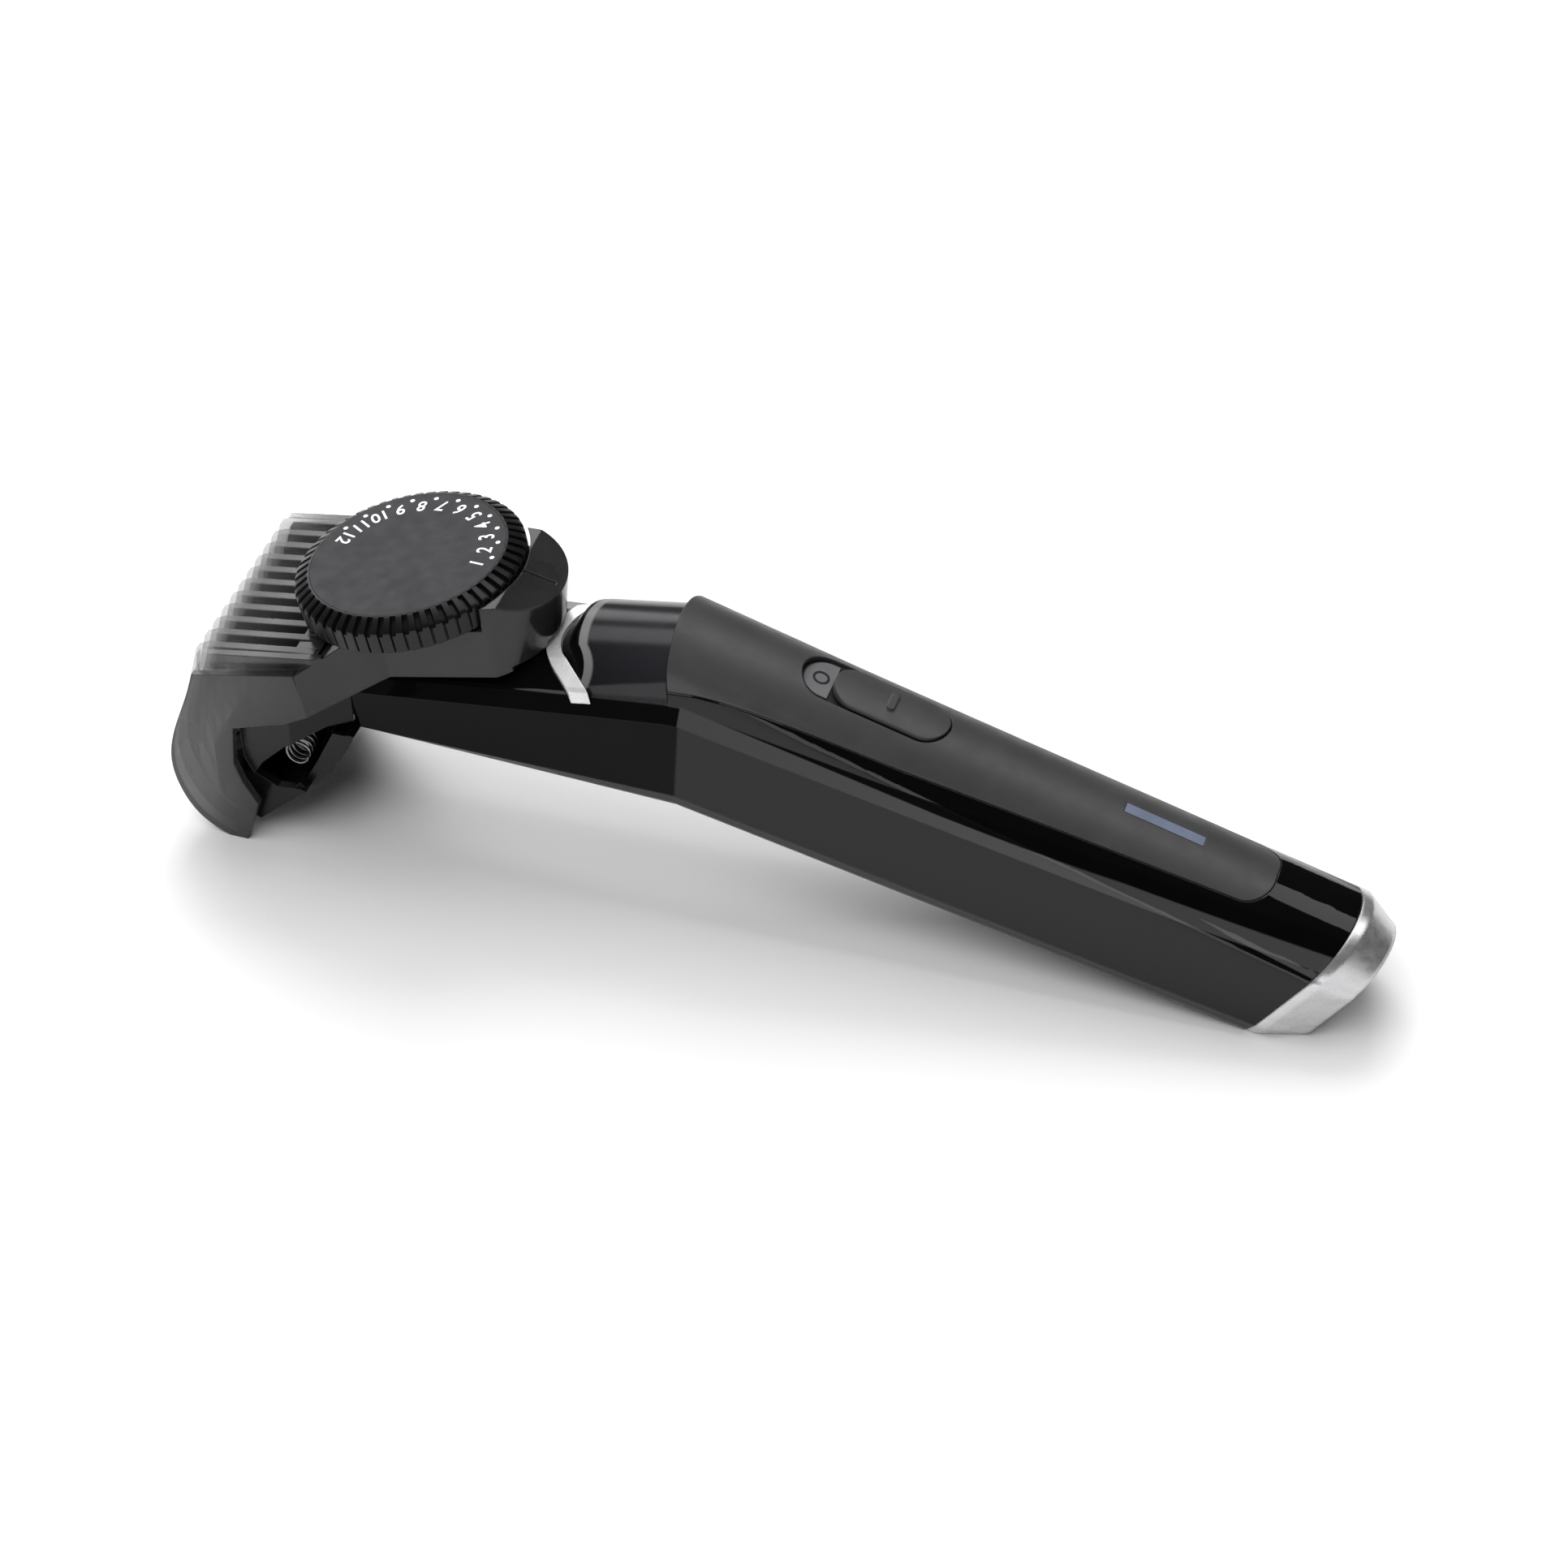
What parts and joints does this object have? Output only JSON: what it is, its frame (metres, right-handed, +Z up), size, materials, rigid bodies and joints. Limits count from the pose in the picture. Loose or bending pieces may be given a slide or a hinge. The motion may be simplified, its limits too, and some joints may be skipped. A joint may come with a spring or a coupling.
{
  "type": "beard trimmer",
  "caption": "Cordless beard trimmer lying down: glossy grip with switch and charge light, silver end cap, removable length comb set by a numbered dial, and a floating head with moving blades.",
  "frame": {"origin": "centre of the bottom of the bounding box, on the surface that the trimmer lies on", "axes": "+X from the comb to the charging end, +Y across to the trimmer's left as seen from the charging end, +Z up from the surface"},
  "size_m": [0.1783, 0.037, 0.0482],
  "materials": {
    "gloss_black": "glossy black moulded housing",
    "matte_charcoal": "fine matte charcoal",
    "cover_black": "satin black",
    "ring_chrome": "bright plated",
    "cap_silver": "satin silver",
    "label_grey": "grey plate with a plain round mark",
    "lens_grey": "translucent grey light window",
    "led_white": "moulded diode",
    "socket_black": "moulded insulator",
    "contact_metal": "plated spring contacts",
    "board_green": "solder resist",
    "battery_wrap": "shrink-wrapped cell",
    "chassis_black": "moulded inner cradle",
    "steel": "bright steel",
    "motor_steel": "drawn steel can",
    "bush_bronze": "sintered bronze",
    "white_acetal": "natural acetal",
    "rail_black": "slippery black acetal",
    "comb_smoke": "smoke-tinted translucent",
    "dial_black": "satin black knurled rim",
    "dial_slate": "matte slate face with plain white numbers",
    "blade_steel": "ground blade steel"
  },
  "bodies": {
    "body": {"main_shell": "gloss_black", "top_panel": "matte_charcoal", "rear_cover": "cover_black", "neck_bezel": "gloss_black", "neck_ring": "ring_chrome", "end_cap": "cap_silver", "charging_socket": "socket_black", "socket_contacts": "contact_metal", "switch_tray": "cover_black", "switch_label_plate": "label_grey", "charge_light_lens": "lens_grey", "charge_led": "led_white", "circuit_board": "board_green", "switch_body": "socket_black", "battery": "battery_wrap", "battery_contacts": "contact_metal", "chassis": "chassis_black", "housing_screws": "steel", "motor_can": "motor_steel", "motor_mount": "chassis_black", "shaft_bush": "bush_bronze", "neck_rail": "rail_black", "rail_screws": "steel", "head_yoke": "cover_black", "pivot_pins": "steel", "float_springs": "steel"},
    "power_switch": {"power_slider": "matte_charcoal"},
    "rotor": {"motor_shaft": "steel", "eccentric_cam": "white_acetal"},
    "blade_unit": {"blade_carrier": "cover_black", "rear_shroud": "cover_black", "fixed_blade": "blade_steel", "blade_screws": "steel", "pressure_spring": "steel"},
    "moving_blade_body": {"moving_blade": "blade_steel", "drive_block": "white_acetal"},
    "carriage": {"comb_carriage": "rail_black", "carriage_rack": "white_acetal"},
    "comb": {"comb_guide": "comb_smoke", "detent_spring": "steel"},
    "dial": {"dial_wheel": "dial_black", "dial_plate": "dial_slate", "dial_pinion": "white_acetal", "dial_screw": "steel"}
  },
  "joints": [
    {"name": "switch_slide", "type": "slide", "parent": "body", "child": "power_switch", "axis": [-0.9602, 0, 0.2791], "range_m": [0, 0.0046]},
    {"name": "motor_spin", "type": "hinge", "parent": "body", "child": "rotor", "pos_m": [-0.05288, 0, 0.0242], "axis": [0.9816, 0, 0.1908], "continuous": true},
    {"name": "head_float", "type": "hinge", "parent": "body", "child": "blade_unit", "pos_m": [-0.071, 0, 0.015], "axis": [0, 1, 0], "range_deg": [-2, 2], "stiffness_Nm_per_rad": 0.3},
    {"name": "blade_drive", "type": "slide", "parent": "blade_unit", "child": "moving_blade_body", "axis": [0, 1, 0], "range_m": [-0.0008, 0.0008]},
    {"name": "comb_pull_off", "type": "slide", "parent": "body", "child": "carriage", "axis": [-0.9816, 0, -0.1908], "range_m": [0, 0.045]},
    {"name": "comb_adjust", "type": "slide", "parent": "carriage", "child": "comb", "axis": [-0.9816, 0, -0.1908], "range_m": [-0.00101, 0.01051]},
    {"name": "dial_turn", "type": "hinge", "parent": "comb", "child": "dial", "pos_m": [-0.057, 0, 0.0454], "axis": [0.1908, 0, -0.9816], "range_deg": [-15.65, 164.35]}
  ],
  "couplings": [
    {"joint": "comb_adjust", "follows": "dial_turn", "m_per_rad": 0.00366}
  ]
}
